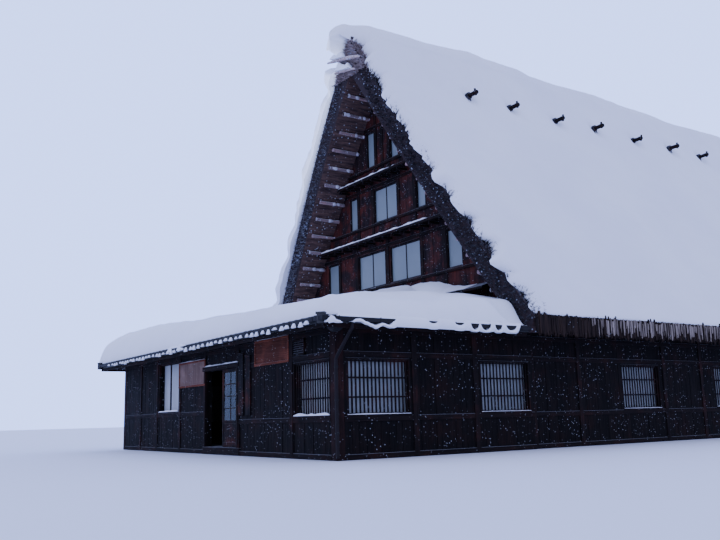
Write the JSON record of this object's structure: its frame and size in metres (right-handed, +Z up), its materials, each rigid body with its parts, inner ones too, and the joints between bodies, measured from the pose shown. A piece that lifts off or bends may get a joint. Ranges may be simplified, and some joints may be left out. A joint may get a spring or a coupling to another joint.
{
  "type": "steep thatched farmhouse under snow",
  "caption": "Steep thatched farmhouse under deep snow: tall boarded gable with pale windows, ridge poles and a low lean-to room with a sliding entrance door.",
  "frame": {"origin": "on the ground under the middle of the front gable wall, at the middle post's foot", "axes": "+X to the right seen from the front, +Y back along the ridge, +Z up"},
  "size_m": [15.5473, 25.5539, 13.92],
  "materials": {
    "thatch": null,
    "snow": null,
    "wall_boards": "weathered dark brown boards",
    "frame_timber": "weathered dark brown timber",
    "shoji": "pale blue-grey paper screen behind the openings",
    "roof_tiles": "dark grey clay tiles",
    "sign_wood": "red-brown stained board, bare",
    "gutter_metal": "dark painted sheet metal",
    "door_wood": "dark wood frame with a smoked pane"
  },
  "bodies": {
    "house": {"annex_floor": "frame_timber", "annex_roof_front": "roof_tiles", "annex_roof_left": "roof_tiles", "annex_roof_right": "roof_tiles", "annex_shoji_front_left": "shoji", "annex_shoji_front_right": "shoji", "annex_shoji_left": "shoji", "annex_shoji_right": "shoji", "annex_snow": "snow", "annex_wall_front_left": "wall_boards", "annex_wall_front_right": "wall_boards", "annex_wall_left": "wall_boards", "annex_wall_over_door": "wall_boards", "annex_wall_return": "wall_boards", "annex_wall_right": "wall_boards", "attic_floor_1": "frame_timber", "attic_floor_2": "frame_timber", "attic_floor_3": "frame_timber", "back_wall": "wall_boards", "back_wall_shoji": "shoji", "corner_post_left": "frame_timber", "corner_post_right": "frame_timber", "door_sill": "frame_timber", "downpipe": "gutter_metal", "entrance_leaf_fixed": "door_wood", "gable_frame": "frame_timber", "gable_shoji_back_1": "shoji", "gable_shoji_back_2": "shoji", "gable_shoji_back_3": "shoji", "gable_shoji_front_1": "shoji", "gable_shoji_front_2": "shoji", "gable_shoji_front_3": "shoji", "gable_wall_back_1": "wall_boards", "gable_wall_back_2": "wall_boards", "gable_wall_back_3": "wall_boards", "gable_wall_front_1": "wall_boards", "gable_wall_front_2": "wall_boards", "gable_wall_front_3": "wall_boards", "gutter": "gutter_metal", "ledge_back_1": "frame_timber", "ledge_back_2": "frame_timber", "ledge_front_1": "frame_timber", "ledge_front_2": "frame_timber", "long_wall_left": "wall_boards", "long_wall_right": "wall_boards", "long_wall_shoji_left": "shoji", "long_wall_shoji_right": "shoji", "main_floor": "frame_timber", "pent_roof": "frame_timber", "pent_snow": "snow", "ridge_cap": "thatch", "roof_snow_left": "snow", "roof_snow_right": "snow", "sign_board": "sign_wood", "thatch_left": "thatch", "thatch_right": "thatch", "wall_panel": "sign_wood"},
    "entrance_door": {"entrance_leaf_sliding": "door_wood"}
  },
  "joints": [
    {"name": "entrance_slide", "type": "slide", "parent": "house", "child": "entrance_door", "axis": [-1, 0, 0], "range_m": [0, 0.975]}
  ]
}
